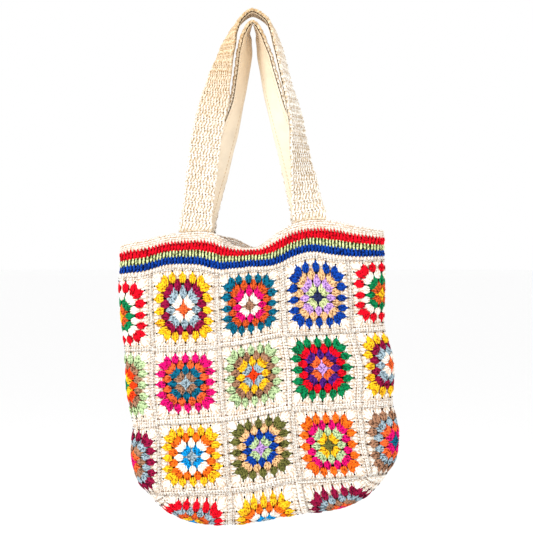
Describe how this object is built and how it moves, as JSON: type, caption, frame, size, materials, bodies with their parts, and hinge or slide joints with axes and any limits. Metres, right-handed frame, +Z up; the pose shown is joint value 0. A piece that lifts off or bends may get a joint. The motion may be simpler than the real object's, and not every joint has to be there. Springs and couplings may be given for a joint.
{
  "type": "crochet granny-square tote bag",
  "caption": "Soft tote bag of crocheted granny squares with a striped wavy top band and broad lined handles, hanging from one point.",
  "frame": {"origin": "the point the bag hangs from, on the underside of the lining of the inner handle where it bends over its support", "axes": "+Z up, against gravity; the front of the bag faces -Y; +X to the right as seen from the front"},
  "size_m": [0.4056, 0.0802, 0.745],
  "materials": {
    "cream_yarn": "matte crocheted cotton yarn",
    "blue_yarn": "matte crocheted cotton yarn",
    "green_yarn": "matte crocheted cotton yarn",
    "red_yarn": "matte crocheted cotton yarn",
    "cotton_lining": "plain woven cotton"
  },
  "bodies": {
    "root": {"back_handle": "cream_yarn", "back_handle_lining": "cotton_lining", "back_square_r1c1": "cream_yarn", "back_square_r1c2": "cream_yarn", "back_square_r1c3": "cream_yarn", "back_square_r2c1": "cream_yarn", "back_square_r2c2": "cream_yarn", "back_square_r2c3": "cream_yarn", "back_square_r3c1": "cream_yarn", "back_square_r3c2": "cream_yarn", "back_square_r3c3": "cream_yarn", "base_band": "cream_yarn", "blue_stripe": "blue_yarn", "bottom_square_1": "cream_yarn", "bottom_square_2": "cream_yarn", "bottom_square_3": "cream_yarn", "front_handle": "cream_yarn", "front_handle_lining": "cotton_lining", "front_square_r1c1": "cream_yarn", "front_square_r1c2": "cream_yarn", "front_square_r1c3": "cream_yarn", "front_square_r2c1": "cream_yarn", "front_square_r2c2": "cream_yarn", "front_square_r2c3": "cream_yarn", "front_square_r3c1": "cream_yarn", "front_square_r3c2": "cream_yarn", "front_square_r3c3": "cream_yarn", "green_stripe": "green_yarn", "left_side_square_1": "cream_yarn", "left_side_square_2": "cream_yarn", "left_side_square_3": "cream_yarn", "red_stripe": "red_yarn", "right_side_square_1": "cream_yarn", "right_side_square_2": "cream_yarn", "right_side_square_3": "cream_yarn", "rim_band": "cream_yarn"}
  },
  "joints": []
}
